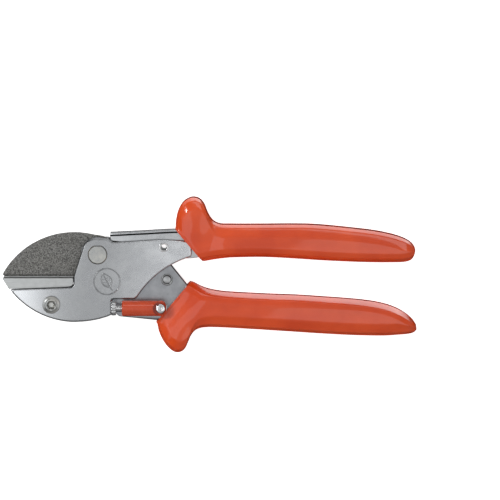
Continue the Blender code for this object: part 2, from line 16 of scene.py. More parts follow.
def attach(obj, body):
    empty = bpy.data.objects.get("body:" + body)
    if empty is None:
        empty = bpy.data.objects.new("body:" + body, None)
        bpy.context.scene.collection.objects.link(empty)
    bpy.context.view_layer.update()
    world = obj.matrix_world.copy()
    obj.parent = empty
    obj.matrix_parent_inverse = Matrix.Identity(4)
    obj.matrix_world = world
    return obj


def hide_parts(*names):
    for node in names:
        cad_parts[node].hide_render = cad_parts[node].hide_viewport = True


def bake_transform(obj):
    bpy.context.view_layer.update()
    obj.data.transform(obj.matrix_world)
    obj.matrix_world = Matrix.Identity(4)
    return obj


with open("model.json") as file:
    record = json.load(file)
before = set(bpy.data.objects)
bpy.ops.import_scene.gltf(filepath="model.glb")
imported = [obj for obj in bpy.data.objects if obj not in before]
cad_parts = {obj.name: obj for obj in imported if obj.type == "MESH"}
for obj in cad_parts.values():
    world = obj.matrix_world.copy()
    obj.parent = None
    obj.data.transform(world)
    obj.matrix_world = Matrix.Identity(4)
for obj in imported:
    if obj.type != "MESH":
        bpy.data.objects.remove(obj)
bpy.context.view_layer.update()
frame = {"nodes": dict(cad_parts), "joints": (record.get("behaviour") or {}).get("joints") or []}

MM = 0.001
PIVOT = Vector(next(j for j in frame["joints"] if j["name"] == "lever_open")["pos_m"])
TO_WORLD = Matrix.Translation(PIVOT) @ Matrix.Scale(MM, 4)

# Layers of the sandwich, as Z from the blade's middle plane.
BLADE_HALF = 1.5
FLANGE_IN = 1.7
CORE_HALF = 3.7
CHEEK_IN = 3.85
CHEEK_OUT = 5.85
GRIP_HALF = 9.0
SHEET = CORE_HALF - FLANGE_IN

# Fasteners and the bores that they sit in.
ANVIL_SCREW_R = 2.4
ANVIL_BORE_R = 2.5
PIVOT_BOLT_R = 4.0
PIVOT_BORE_R = 4.1
PIVOT_HEAD_R = 4.6
PIVOT_HEAD_FLAT = 4.3
EYE_R = 5.65
PIN_R = 2.5
PIN_END_R = 2.9
BLADE_PIN_BORE_R = 2.6
CORE_PIN_BORE_R = 3.0
RIVET_BORE_R = 1.5
RIVET_SHANK_R = 2.0
RIVET_HOLE_R = RIVET_SHANK_R + 0.1
LATCH_SCREW_R = 1.6
LATCH_BORE_R = 1.7
NUT_GAP = 0.1
THREAD_PLAY = 0.06
SEAT_GAP = 0.05

ANVIL_SCREW_AT = (-23.5, -25.4)
CHEEK_RIVET_AT = (33.5, 3.8)
BLADE_PIN_AT = (35.0, -12.9)
LATCH_AT = (31.8, -26.9)
SPRING_AT = (24.6, 3.3)
SPRING_END = (36.9, -5.6)
BLADE_EDGE_Y = -11.4
ANVIL_TOP_Y = -11.9
ANVIL_FOOT_Y = -16.7
BARREL_R = 3.95
BARREL_AXIS_Z = 8.5
BARREL_BACK_Z = 6.2
COUNTERBORE_Z = 9.6

# A cutter that goes right through reaches this far each way from the middle plane.
THROUGH = 8

# The bevel of a hole's rim.
HOLE_EDGE = 0.12


# ---- outlines


def arc(centre, radius, start, end, steps):
    points = []
    for i in range(steps + 1):
        angle = radians(start + (end - start) * i / steps)
        points.append((centre[0] + radius * cos(angle), centre[1] + radius * sin(angle)))
    return points


def circle(centre, radius, steps=64):
    return arc(centre, radius, 0, 360 - 360 / steps, steps - 1)


def curve(start, corner, end, steps):
    """Points of a curve from start to end that heads for the corner at both ends."""
    start, corner, end = Vector(start), Vector(corner), Vector(end)
    shares = [i / steps for i in range(steps + 1)]
    return [tuple(start * (1 - t) ** 2 + corner * (2 * t * (1 - t)) + end * t**2) for t in shares]


def rounded(corner, before, after, cut_back, steps=8):
    """A corner between two neighbours, rounded from cut_back before it to cut_back after it."""
    corner = Vector(corner)
    start = corner + (Vector(before) - corner).normalized() * cut_back
    end = corner + (Vector(after) - corner).normalized() * cut_back
    return curve(start, corner, end, steps)


def polygon(corners):
    """An outline through (X, Y) corners. A third value rounds that corner."""
    points = []
    for i, corner in enumerate(corners):
        if len(corner) == 2:
            points.append(corner)
            continue
        following = corners[(i + 1) % len(corners)]
        points += rounded(corner[:2], corners[i - 1][:2], following[:2], corner[2])
    return points


def smooth(points, steps):
    """A smooth line through all the points, with this many steps between each two."""
    vectors = [Vector(p) for p in points]
    padded = [vectors[0] * 2 - vectors[1], *vectors, vectors[-1] * 2 - vectors[-2]]
    found = []
    for p0, p1, p2, p3 in zip(padded, padded[1:], padded[2:], padded[3:]):
        a, b, c = p2 - p0, p0 * 2 - p1 * 5 + p2 * 4 - p3, p1 * 3 - p0 - p2 * 3 + p3
        for t in (k / steps for k in range(steps)):
            found.append((p1 * 2 + a * t + b * t**2 + c * t**3) * 0.5)
    return [tuple(p) for p in [*found, vectors[-1]]]


def area(points):
    return sum(a[0] * b[1] - b[0] * a[1] for a, b in zip(points, points[1:] + points[:1])) / 2


def anticlockwise(points):
    return list(points) if area(points) > 0 else list(reversed(points))


def shrunk(points, depths):
    """An anticlockwise outline moved inwards, by one depth or by one for each point."""
    if not isinstance(depths, list):
        depths = [depths] * len(points)
    moved = []
    count = len(points)
    for i, point in enumerate(points):
        before = (Vector(point) - Vector(points[i - 1])).normalized()
        after = (Vector(points[(i + 1) % count]) - Vector(point)).normalized()
        normal = Vector((-before.y - after.y, before.x + after.x)).normalized()
        stretch = max(normal.dot(Vector((-before.y, before.x))), 0.5)
        moved.append(tuple(Vector(point) + normal * (depths[i] / stretch)))
    return moved


# ---- meshes


def mesh_of(name, vertices, faces):
    mesh = bpy.data.meshes.new(name)
    mesh.from_pydata([Vector(v) for v in vertices], [], faces)
    shaped = bmesh.new()
    shaped.from_mesh(mesh)
    bmesh.ops.recalc_face_normals(shaped, faces=shaped.faces)
    shaped.to_mesh(mesh)
    shaped.free()
    return mesh


def band(lower, upper, size):
    """The quads between two rings of a mesh, from the index of each ring's first point."""
    pairs = [(i, (i + 1) % size) for i in range(size)]
    return [(lower + i, lower + j, upper + j, upper + i) for i, j in pairs]


def plate(name, outline, low, high, holes=(), edge=0.4, segments=4):
    """A flat plate with rounded edges. edge is one radius, or a function of a point on the outline."""
    outline = anticlockwise(outline)
    radii = [edge(p) if callable(edge) else edge for p in outline]
    count = len(outline)
    levels = []
    for k in range(segments + 1):
        turn = radians(90 * k / segments)
        ring = shrunk(outline, [r * (1 - sin(turn)) for r in radii])
        rise = [r * (1 - cos(turn)) for r in radii]
        levels.append([(x, y, low + up) for (x, y), up in zip(ring, rise)])
    levels += [[(x, y, low + high - z) for x, y, z in ring] for ring in reversed(levels)]
    vertices = [v for ring in levels for v in ring]
    faces = []
    for level in range(len(levels) - 1):
        faces += band(level * count, (level + 1) * count, count)
    rims = []
    for hole in holes:
        hole = anticlockwise(hole)
        wide = shrunk(hole, -HOLE_EDGE)
        size = len(hole)
        start = len(vertices)
        rims.append((start, size))
        stack = [(wide, low), (hole, low + HOLE_EDGE), (hole, high - HOLE_EDGE), (wide, high)]
        for level, (ring, z) in enumerate(stack):
            vertices += [(x, y, z) for x, y in ring]
            if level:
                faces += band(start + (level - 1) * size, start + level * size, size)
    last = (len(levels) - 1) * count
    for first, levels_up in ((0, 0), (last, 3)):
        index = list(range(first, first + count))
        for start, size in rims:
            index += range(start + levels_up * size, start + (levels_up + 1) * size)
        loops = [[Vector((x, y, 0)) for x, y, _ in levels[0]]]
        loops += [[Vector((*vertices[start + i][:2], 0)) for i in range(size)] for start, size in rims]
        for a, b, c in tessellate_polygon(loops):
            faces.append((index[a], index[b], index[c]))
    return mesh_of(name, vertices, faces)


def turned(name, profile, steps=64, axis="Z", waves=0):
    """A solid of revolution from (radius, height) points. A third value is how deep its waves are.

    The depth is a share of the radius, and waves is how many go round.
    """
    vertices = []
    rings = []
    for entry in profile:
        radius, height = entry[:2]
        depth = entry[2] if len(entry) > 2 else 0
        if radius == 0:
            rings.append([len(vertices)])
            vertices.append((0, 0, height))
            continue
        rings.append(list(range(len(vertices), len(vertices) + steps)))
        for k in range(steps):
            angle = 2 * pi * k / steps
            r = radius * (1 + depth * cos(waves * angle))
            vertices.append((r * cos(angle), r * sin(angle), height))
    faces = []
    for lower, upper in zip(rings, rings[1:]):
        for i in range(steps):
            following = (i + 1) % steps
            corners = [lower[i % len(lower)], lower[following % len(lower)]]
            corners += [upper[following % len(upper)], upper[i % len(upper)]]
            face = list(dict.fromkeys(corners))
            if len(face) > 2:
                faces.append(face)
    if axis == "X":
        vertices = [(z, x, y) for x, y, z in vertices]
    return mesh_of(name, vertices, faces)


def fillet(r0, z0, r1, z1, corner, steps=5):
    """(radius, height) points of a quarter curve from one profile point to another round a corner."""
    return curve((r0, z0), corner, (r1, z1), steps)


def threaded(radius, low, high, pitch, depth):
    """(radius, height) points of a thread drawn as close rings, from low to high."""
    points = []
    turns = max(1, round((high - low) / pitch))
    step = (high - low) / turns
    for i in range(turns):
        z = low + i * step
        points += [(radius - depth, z), (radius, z + step * 0.35), (radius, z + step * 0.6)]
    points.append((radius - depth, high))
    return points


def tube(name, points, radius, sides, closed=False):
    """A round wire along 3-D points, with round ends unless it is closed."""
    path = [Vector(p) for p in points]
    last = len(path) - 1
    # The extra rings of a round end, as (shift, size) shares of the radius.
    cap = [(0.35, 0.93), (0.7, 0.72), (0.85, 0.35)]
    vertices = []
    rings = []
    normal = None
    for i, point in enumerate(path):
        if closed:
            along = (path[(i + 1) % len(path)] - path[i - 1]).normalized()
        else:
            along = (path[min(i + 1, last)] - path[max(i - 1, 0)]).normalized()
        if normal is None:
            normal = Vector((0, 0, 1)) if abs(along.z) < 0.9 else Vector((1, 0, 0))
        normal = (normal - along * normal.dot(along)).normalized()
        side = along.cross(normal)
        scales = [(0, 1)]
        if not closed and i == 0:
            scales = [(-shift, size) for shift, size in reversed(cap)] + scales
        if not closed and i == last:
            scales += cap
        for shift, scale in scales:
            rings.append(len(vertices))
            for k in range(sides):
                angle = 2 * pi * k / sides
                offset = normal * cos(angle) + side * sin(angle)
                vertices.append(point + along * (shift * radius) + offset * (radius * scale))
    faces = []
    for lower, upper in zip(rings, rings[1:]):
        faces += band(lower, upper, sides)
    if closed:
        faces += band(rings[-1], 0, sides)
    else:
        faces += [tuple(reversed(range(sides))), tuple(range(rings[-1], len(vertices)))]
    return mesh_of(name, vertices, faces)


def merged(name, *meshes, weld=0):
    """Several meshes as one, with no Boolean. Points closer than weld become one."""
    shaped = bmesh.new()
    for mesh in meshes:
        shaped.from_mesh(mesh)
    if weld:
        bmesh.ops.remove_doubles(shaped, verts=shaped.verts, dist=weld)
    made = bpy.data.meshes.new(name)
    shaped.to_mesh(made)
    shaped.free()
    return made


def cut(mesh, *others, operation="DIFFERENCE"):
    """The mesh after a Boolean with each of the others."""
    body = added(mesh.name, mesh)
    helpers = [added(other.name, other) for other in others]
    for helper in helpers:
        modifier = body.modifiers.new(helper.name, "BOOLEAN")
        modifier.operation = operation
        modifier.object = helper
        modifier.solver = "EXACT"
    graph = bpy.context.evaluated_depsgraph_get()
    made = bpy.data.meshes.new_from_object(body.evaluated_get(graph))
    made.name = mesh.name + "_cut"
    for obj in [body, *helpers]:
        bpy.data.objects.remove(obj)
    return made


def block(name, low, high):
    x0, y0, z0 = low
    x1, y1, z1 = high
    vertices = [(x, y, z) for z in (z0, z1) for x, y in ((x0, y0), (x1, y0), (x1, y1), (x0, y1))]
    faces = [(0, 1, 2, 3), (4, 5, 6, 7), (0, 1, 5, 4), (1, 2, 6, 5), (2, 3, 7, 6), (3, 0, 4, 7)]
    return mesh_of(name, vertices, faces)


def added(name, data):
    """A new object in the scene."""
    obj = bpy.data.objects.new(name, data)
    bpy.context.scene.collection.objects.link(obj)
    return obj


def place(name, mesh, material, body, replaced=None, at=(0, 0), sharp=32, weighted=True):
    """Puts a mesh drawn round a point of the shears into the row frame, on its body."""
    mesh.name = name
    mesh.transform(TO_WORLD @ Matrix.Translation(Vector((*at, 0))))
    mesh.materials.clear()
    mesh.materials.append(material)
    mesh.shade_smooth()
    mesh.set_sharp_from_angle(angle=radians(sharp))
    obj = added(name, mesh)
    if weighted:
        modifier = obj.modifiers.new("face_weights", "WEIGHTED_NORMAL")
        modifier.keep_sharp = True
        modifier.weight = 90
    if body:
        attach(obj, body)
    if replaced:
        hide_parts(replaced)
    return obj


# ---- materials


class Nodes:
    """A small helper that builds a node tree."""

    def __init__(self, tree):
        self.tree = tree
        self.coordinates = self.new("TexCoord").outputs

    def new(self, kind, **inputs):
        node = self.tree.nodes.new("ShaderNode" + kind)
        for key, value in inputs.items():
            node.inputs[key.replace("_", " ")].default_value = value
        return node

    def feed(self, value, socket):
        """Sets a socket to a number or a colour, or links it to another node's output."""
        if isinstance(value, (int, float)):
            socket.default_value = value
        elif isinstance(value, tuple):
            socket.default_value = (*value, 1)
        else:
            self.tree.links.new(value, socket)

    def split(self, source):
        node = self.new("SeparateXYZ")
        self.feed(source, node.inputs[0])
        return node.outputs

    def ranged(self, source, low, high, to_low, to_high):
        node = self.new("MapRange", From_Min=low, From_Max=high, To_Min=to_low, To_Max=to_high)
        self.feed(source, node.inputs["Value"])
        return node.outputs["Result"]

    def ramp(self, share, stops, tint=(1, 1, 1), interpolation="LINEAR"):
        """Greys from (share, grey) stops, times a tint."""
        node = self.new("ValToRGB")
        node.color_ramp.interpolation = interpolation
        steps = node.color_ramp.elements
        for index, (spot, grey) in enumerate(stops):
            step = steps[index] if index < 2 else steps.new(spot)
            step.position = spot
            step.color = (*(grey * c for c in tint), 1)
        self.feed(share, node.inputs["Fac"])
        return node.outputs["Color"]

    def maths(self, operation, *values):
        node = self.new("Math")
        node.operation = operation
        for value, socket in zip(values, node.inputs):
            self.feed(value, socket)
        return node.outputs[0]


class Surface(Nodes):
    """The nodes of one material, in millimetres of the row frame."""

    def __init__(self, name):
        self.material = bpy.data.materials.new(name)
        self.material.use_nodes = True
        super().__init__(self.material.node_tree)
        self.shader = self.tree.nodes["Principled BSDF"]
        self.mm = self.mapped(self.coordinates["Object"], (1 / MM, 1 / MM, 1 / MM))

    def mapped(self, source, scale, turn=0):
        """Coordinates scaled, and turned by degrees about Z."""
        node = self.new("Mapping", Scale=scale, Rotation=(0, 0, radians(turn)))
        self.feed(source, node.inputs["Vector"])
        return node.outputs["Vector"]

    def noise(self, scale, detail=3, roughness=0.55, source=None):
        node = self.new("TexNoise", Scale=scale, Detail=detail, Roughness=roughness)
        self.feed(source or self.mm, node.inputs["Vector"])
        return node.outputs["Fac"]

    def hairlines(self, scale, turn, width):
        """Sparse fine scratches: the narrow middle band of a noise drawn out along one direction."""
        wander = self.noise(1.0, 2, 0.5, self.mapped(self.mm, scale, turn))
        line = self.ranged(self.maths("ABSOLUTE", self.maths("SUBTRACT", wander, 0.5)), 0, width, 1, 0)
        patches = self.ranged(self.noise(0.09, 2), 0.5, 0.62, 0, 1)
        return self.maths("MULTIPLY", line, patches)

    def upright(self):
        """How far the surface faces out of the plane of the shears, from 0 on an edge to 1 on a flat."""
        return self.maths("ABSOLUTE", self.split(self.coordinates["Normal"])["Z"])

    def along(self, stops):
        """A grey that changes with X, from (X in millimetres from the pivot, grey) stops."""
        start, end = stops[0][0], stops[-1][0]
        shift = PIVOT.x / MM
        share = self.ranged(self.split(self.mm)["X"], start + shift, end + shift, 0, 1)
        shares = [((x - start) / (end - start), grey) for x, grey in stops]
        return self.ramp(share, shares, interpolation="B_SPLINE")

    def mix(self, share, a, b, blend="MIX"):
        node = self.new("Mix")
        node.data_type = "RGBA"
        node.blend_type = blend
        # The colour sockets of this node come after its number and vector sockets.
        for value, index in ((share, 0), (a, 6), (b, 7)):
            self.feed(value, node.inputs[index])
        return node.outputs[2]

    def bump(self, height, distance, before=None):
        """distance is in millimetres."""
        node = self.new("Bump", Distance=distance * MM)
        self.feed(height, node.inputs["Height"])
        if before:
            self.feed(before, node.inputs["Normal"])
        return node.outputs["Normal"]

    def set(self, **values):
        for key, value in values.items():
            self.feed(value, self.shader.inputs[key.replace("_", " ")])
        return self.material


def dimmed(colour, share):
    return tuple(c * share for c in colour)


def plated(name, light, dark, rough, grain=0.004, streaks=0.0015, mottle=(0.42, 0.6), polish=None, soot=0.8):
    """Plated steel: cloudy brightness, fine pickled grain, faint rolling streaks and sparse hairlines.

    grain and streaks are heights in millimetres, mottle is how the clouds share out light and dark,
    the sheen stops (X, brightness) paint a reflection brighter and darker along the metal, and the edge
    shade is how dark the rounded edges are painted, a painted dark reflection.
    """
    n = Surface(name)
    clouds = n.noise(0.11, 4, 0.6)
    fine = n.noise(5.5, 4, 0.65)
    rolled = n.noise(1.0, 3, 0.6, n.mapped(n.mm, (0.35, 7.0, 7.0), 24))
    along = n.hairlines((0.16, 3.4, 3.4), 61, 0.006)
    across = n.hairlines((0.13, 2.6, 2.6), -38, 0.005)
    scratches = n.maths("MAXIMUM", along, across)
    tint = n.mix(n.ranged(clouds, *mottle, 0, 1), dark, light)
    # Painted reflection: the tint is multiplied by a grey that changes along X.
    if polish:
        tint = n.mix(1.0, tint, n.along(polish), "MULTIPLY")
    tint = n.mix(n.ranged(fine, 0.3, 0.7, 0.16, 0), tint, dimmed(dark, 0.62))
    tint = n.mix(n.maths("MULTIPLY", scratches, 0.35), tint, tuple(min(1, c * 1.2) for c in light))
    # Rounded edges are painted dark, most part way round the bend and less on flats and walls: a painted dark
    # reflection.
    upright = n.upright()
    rim = n.ranged(upright, 0.35, 0.72, 1, 0)
    wall = n.ranged(upright, 0.02, 0.18, 0.35, 1)
    edge = n.maths("MULTIPLY", rim, wall)
    tint = n.mix(n.maths("MULTIPLY", edge, soot), tint, dimmed(dark, 0.14))
    roughness = n.ranged(fine, 0.25, 0.75, rough - 0.05, rough + 0.06)
    roughness = n.maths("ADD", roughness, n.ranged(rolled, 0.3, 0.7, -0.025, 0.025))
    roughness = n.maths("ADD", roughness, n.ranged(clouds, 0.35, 0.65, -0.03, 0.03))
    normal = n.bump(fine, grain)
    normal = n.bump(rolled, streaks, normal)
    normal = n.bump(n.maths("SUBTRACT", 1, scratches), 0.004, normal)
    return n.set(Base_Color=tint, Metallic=1.0, Roughness=roughness, Normal=normal)


def coated_blade():
    """A matt bonded coating with grains, lighter where it lies thin, over a cloudy ground."""
    n = Surface("blade_coating")
    grains = n.noise(1.55, 5, 0.72)
    specks = n.noise(3.2, 3, 0.6)
    clouds = n.noise(0.12, 3, 0.5)
    tint = n.mix(n.ranged(grains, 0.38, 0.62, 0, 1), (0.02, 0.02, 0.019), (0.35, 0.346, 0.33))
    tint = n.mix(n.ranged(specks, 0.55, 0.68, 0, 0.55), tint, (0.5, 0.49, 0.46))
    tint = n.mix(n.ranged(specks, 0.36, 0.44, 0.6, 0), tint, (0.055, 0.054, 0.05))
    tint = n.mix(n.ranged(clouds, 0.35, 0.65, 0.0, 0.16), tint, (0.2, 0.19, 0.165))
    normal = n.bump(grains, 0.05)
    normal = n.bump(specks, 0.03, normal)
    roughness = n.ranged(specks, 0.3, 0.7, 0.5, 0.68)
    return n.set(Base_Color=tint, Metallic=0.35, Roughness=roughness, Normal=normal)


def anvil_metal():
    """A drawn light-alloy bar with fine lines along it and faint cutting marks across."""
    n = Surface("anvil_alloy")
    lines = n.noise(1.0, 4, 0.62, n.mapped(n.mm, (0.22, 9.0, 9.0)))
    clouds = n.noise(0.35, 3, 0.6)
    nicks = n.hairlines((2.2, 0.12, 0.5), 6, 0.012)
    tint = n.mix(n.ranged(lines, 0.35, 0.65, 0, 1), (0.52, 0.53, 0.525), (0.68, 0.69, 0.685))
    tint = n.mix(n.ranged(clouds, 0.4, 0.62, 0, 0.3), tint, (0.45, 0.46, 0.455))
    tint = n.mix(n.maths("MULTIPLY", nicks, 0.4), tint, (0.4, 0.4, 0.4))
    roughness = n.ranged(lines, 0.3, 0.7, 0.34, 0.48)
    normal = n.bump(lines, 0.006)
    normal = n.bump(n.maths("SUBTRACT", 1, nicks), 0.01, normal)
    return n.set(Base_Color=tint, Metallic=1.0, Roughness=roughness, Normal=normal)


def bronze():
    """Sintered bronze with fine pores."""
    n = Surface("bush_bronze")
    pores = n.noise(4.0, 4, 0.7)
    tint = n.mix(n.ranged(pores, 0.35, 0.65, 0, 1), (0.36, 0.22, 0.09), (0.66, 0.45, 0.22))
    roughness = n.ranged(pores, 0.3, 0.7, 0.45, 0.3)
    return n.set(Base_Color=tint, Metallic=1.0, Roughness=roughness, Normal=n.bump(pores, 0.01))


def glossy_skin(name, deep, light, rough, peel, swell):
    """A thick glossy plastic skin: slow swells from dipping, fine peel, cloudy pigment, faint scuffs.

    peel and swell are heights in millimetres.
    """
    n = Surface(name)
    clouds = n.noise(0.05, 3, 0.5)
    flow = n.noise(0.16, 3, 0.5, n.mapped(n.mm, (0.35, 1, 1)))
    fine = n.noise(1.9, 3, 0.55)
    specks = n.noise(9.0, 2, 0.5)
    scuffs = n.hairlines((0.12, 2.4, 2.4), 12, 0.004)
    dull = n.maths("MULTIPLY", scuffs, 0.12)
    tint = n.mix(n.ranged(clouds, 0.38, 0.62, 0, 1), deep, light)
    tint = n.mix(n.ranged(flow, 0.4, 0.66, 0, 0.22), tint, dimmed(deep, 0.86))
    tint = n.mix(n.ranged(specks, 0.3, 0.7, 0.06, 0), tint, dimmed(deep, 0.6))
    tint = n.mix(dull, tint, (0.9, 0.45, 0.36))
    normal = n.bump(fine, peel, n.bump(flow, swell))
    return n.set(
        Base_Color=tint,
        Roughness=n.maths("ADD", n.ranged(fine, 0.3, 0.7, rough - 0.03, rough + 0.04), dull),
        Normal=normal,
        Coat_Normal=n.bump(flow, swell * 0.8),
        Coat_Weight=1.0,
        Coat_Roughness=0.05,
        Coat_IOR=1.5,
        Specular_IOR_Level=0.28,
    )


# The cheeks' colour is painted lighter at the jaw and the tail and darker round the pivot: a painted
# reflection that changes along X.
POLISH = ((-48, 1.0), (-36, 0.96), (-25, 0.5), (-12, 0.42), (2, 0.44), (16, 0.66), (32, 1.0), (48, 1.0))
NICKEL = plated("satin_nickel", (0.92, 0.935, 0.955), (0.82, 0.835, 0.86), 0.27, polish=POLISH)
# The cores use darker copies of the cheeks' satin nickel: painted shade, darkest on the lower core.
CORE_NICKEL = plated("satin_nickel_core_painted_shade", (0.50, 0.51, 0.53), (0.39, 0.40, 0.42), 0.32, 0.005, 0.003)
SPINE_NICKEL = plated("satin_nickel_spine_painted_shade", (0.76, 0.775, 0.79), (0.66, 0.675, 0.69), 0.3, 0.005, 0.003)
POLISHED = plated("polished_steel", (0.93,) * 3, (0.86, 0.86, 0.865), 0.13, 0.001, 0.0005, soot=0.1)
ZINC = plated(
    "zinc_plate", (0.66, 0.645, 0.60), (0.44, 0.45, 0.445), 0.32, 0.006, 0.001, (0.38, 0.56), soot=0.2
)
PIN_STEEL = plated("zinc_plate_pin", (0.60, 0.605, 0.61), (0.48, 0.485, 0.49), 0.32, 0.006, 0.001)
# Near-black for the strip in the upper core's seam: painted shade.
CREVICE = plated("seam_painted_shade", (0.05, 0.05, 0.052), (0.02, 0.02, 0.02), 0.6, 0.01, 0.004)
COATING = coated_blade()
ALLOY = anvil_metal()
BRONZE = bronze()
GRIP = glossy_skin("grip_dip", (0.74, 0.064, 0.008), (0.85, 0.088, 0.013), 0.3, 0.003, 0.03)
PAINT = glossy_skin("latch_paint", (0.57, 0.055, 0.014), (0.67, 0.082, 0.024), 0.26, 0.005, 0.01)

SLOTS = {material: "satin_nickel" for material in (NICKEL, CORE_NICKEL, SPINE_NICKEL, CREVICE)}
SLOTS |= {POLISHED: "polished_steel", ZINC: "zinc_plate", PIN_STEEL: "zinc_plate", ALLOY: "anvil_alloy"}
SLOTS |= {COATING: "blade_coating", GRIP: "grip_dip", PAINT: "latch_paint"}


# ---- cheeks


def cheek_outline():
    """From the jaw's tip over the anvil's seat, the shoulder and the tail, and back along the belly."""
    seat = [(-44.0, -17.7), *rounded((-12.1, -16.5), (-40, -17.5), (-12.1, -12), 2.4)]
    nose = smooth([(-12.1, -11.0), (-7.3, 4.0), (-5.9, 6.1), (-4.0, 7.4), (-1.2, 8.25)], 5)
    shoulder = polygon([(-1, 8.25), (5.9, 8.25, 1.2), (7.3, 6.45, 1.2), (9.5, 6.4)])[1:-1]
    back = smooth([(9.5, 6.4), (20, 7.0), (32, 7.65), (43.2, 7.1)], 8)
    tail = [*rounded((47.5, 6.5), (43.2, 7.1), (47.5, 0), 1.2), (47.5, 0.2), (47.1, -1.0)]
    throat = arc((60.5, -47.1), 47.9, 107, 148, 40)
    notch = [(20, -21), (18.9, -22.7, 1.0), (7.0, -22.7, 1.2), (7.0, -30.7, 1.0), (3, -32)]
    belly = arc((-11.2, 15.2), 49.4, -71, -88, 20)
    jaw = arc((-11.2, 7.2), 41.5, -91, -142.5, 60)
    return seat + nose + shoulder + back + tail + throat + polygon(notch)[1:-1] + belly + jaw


def flat_sided(radius, chord):
    """A circle cut off flat at this distance above its centre."""
    start = degrees(asin(chord / radius))
    return arc((0, 0), radius, 180 - start, 360 + start, 72)


def emblem():
    """A generic stamped sign: a plain ring round a leaf with a midrib and side veins."""
    centre = Vector((4.7, -13.6, CHEEK_OUT))
    ring_r, ring_wire, leaf_wire, vein_wire, sides = 6.6, 0.3, 0.28, 0.16, 12
    ring = [centre + Vector((x, y, 0)) for x, y in circle((0, 0), ring_r, 96)]
    lines = [tube("emblem_ring", ring, ring_wire, sides, closed=True)]
    turn = Matrix.Rotation(radians(28), 3, "Z")

    def drawn(points, radius):
        spots = [centre + turn @ Vector((x, y, 0)) for x, y in smooth(points, 6)]
        lines.append(tube("emblem_line", spots, radius, sides))

    for side in (-1, 1):
        half = [(0, 4.6), (1.5 * side, 3.1), (2.45 * side, 0.9), (2.0 * side, -1.6), (0, -3.5)]
        drawn(half, leaf_wire)
        for low, high, reach in ((-2.2, -1.2, 1.55), (-0.7, 0.5, 1.95), (0.9, 2.0, 1.55)):
            vein = [(0, low), (reach * 0.55 * side, (low + high) / 2 - 0.1), (reach * side, high)]
            drawn(vein, vein_wire)
    drawn([(0.25, -5.2), (0, -3.5), (0, 0), (0, 3.4)], leaf_wire)
    return lines


def cheeks():
    outline = cheek_outline()
    common = [circle(CHEEK_RIVET_AT, RIVET_HOLE_R, 48), circle(ANVIL_SCREW_AT, ANVIL_BORE_R, 48)]
    holes = [flat_sided(PIVOT_HEAD_R + 0.2, PIVOT_HEAD_FLAT + 0.2), *common]
    front = plate("front_cheek", outline, CHEEK_IN, CHEEK_OUT, holes, edge=0.9, segments=6)
    front = merged("front", front, *emblem())
    place("cheek_front", front, NICKEL, "anvil_lever", "front_cheek")
    holes = [circle((0, 0), PIVOT_BORE_R), *common]
    rear = plate("rear_cheek", outline, -CHEEK_OUT, -CHEEK_IN, holes, edge=0.5, segments=5)
    place("cheek_rear", rear, NICKEL, "anvil_lever", "rear_cheek")


def anvil():
    bar = [
        (-48.1, ANVIL_TOP_Y - 0.4),
        (-47.8, ANVIL_TOP_Y),
        (-12.4, ANVIL_TOP_Y, 0.4),
        (-12.4, ANVIL_FOOT_Y + 0.6, 2.2),
        (-44.9, -17.4),
    ]
    foot = [(-43.0, -14), (-14.4, -14), (-14.4, -22), (-18.6, -29.2), (-24, -30.4), (-33, -26)]
    bar = plate("anvil_bar", polygon(bar), -CHEEK_OUT, CHEEK_OUT, edge=0.16, segments=4)
    hole = circle(ANVIL_SCREW_AT, ANVIL_BORE_R)
    foot = plate("anvil_foot", foot, -CORE_HALF, CORE_HALF, [hole], edge=0.1, segments=1)
    shaped = cut(bar, foot, operation="UNION")
    place("anvil_bar", shaped, ALLOY, "anvil_lever", "anvil")


# ---- screws, rivets and nuts


def nut(name, node, across, depth, face, screw_r, at, body):
    """A hexagon nut under a face, its corners turned off, with a chamfered thread hole for its screw."""
    low, high = face - depth, face - NUT_GAP
    bore = screw_r + THREAD_PLAY
    thread = bore + 0.3
    inner = across / 2 * 0.97
    chamfer = 0.35
    steps = 96
    rings = [(bore, low + chamfer), (thread, low), (inner, low), (None, low), (None, high)]
    rings += [(inner, high), (thread, high), (bore, high - chamfer)]
    vertices = []
    for radius, z in rings:
        for k in range(steps):
            angle = 2 * pi * (k + 0.5) / steps
            r, drop = radius, 0
            if radius is None:
                sector = (angle + pi / 6) % (pi / 3) - pi / 6
                r = across / 2 / cos(sector)
                drop = max(0, r - inner) * tan(radians(30))
            height = z + drop if z == low else z - drop
            vertices.append((r * cos(angle), r * sin(angle), height))
    faces = []
    for level in range(len(rings)):
        faces += band(level * steps, (level + 1) % len(rings) * steps, steps)
    place(name, mesh_of(node, vertices, faces), ZINC, body, node, at)


def anvil_screw():
    """A raised cone head with a dark ring and a six-lobed socket, and a nut behind the rear cheek."""
    end = -CHEEK_OUT - 2.9
    seat = CHEEK_OUT + SEAT_GAP
    top = CHEEK_OUT + 2.2
    lobes = 0.11
    profile = [
        (0, end), (1.7, end),
        *threaded(ANVIL_SCREW_R, end + 0.3, -CHEEK_OUT - NUT_GAP, 0.8, 0.35),
        (ANVIL_SCREW_R, seat), (4.25, seat),
        *fillet(4.45, seat + 0.15, 4.28, top - 0.66, (4.5, top - 0.72), 4),
        *fillet(3.2, top - 0.36, 2.95, top - 0.1, (3.1, top - 0.34), 3),
        (2.35, top), (2.15, top - 0.1, lobes * 0.3), (1.95, top - 0.4, lobes),
        (1.35, top - 1.8, lobes), (1.2, top - 2.0, lobes * 0.6), (0, top - 2.05),
    ]
    screw = turned("anvil_screw", profile, 96, waves=6)
    place("anvil_screw_star", screw, ZINC, "anvil_lever", "anvil_screw", ANVIL_SCREW_AT)
    nut("anvil_nut_hex", "anvil_nut", 8, 2.5, -CHEEK_OUT, ANVIL_SCREW_R, ANVIL_SCREW_AT, "anvil_lever")


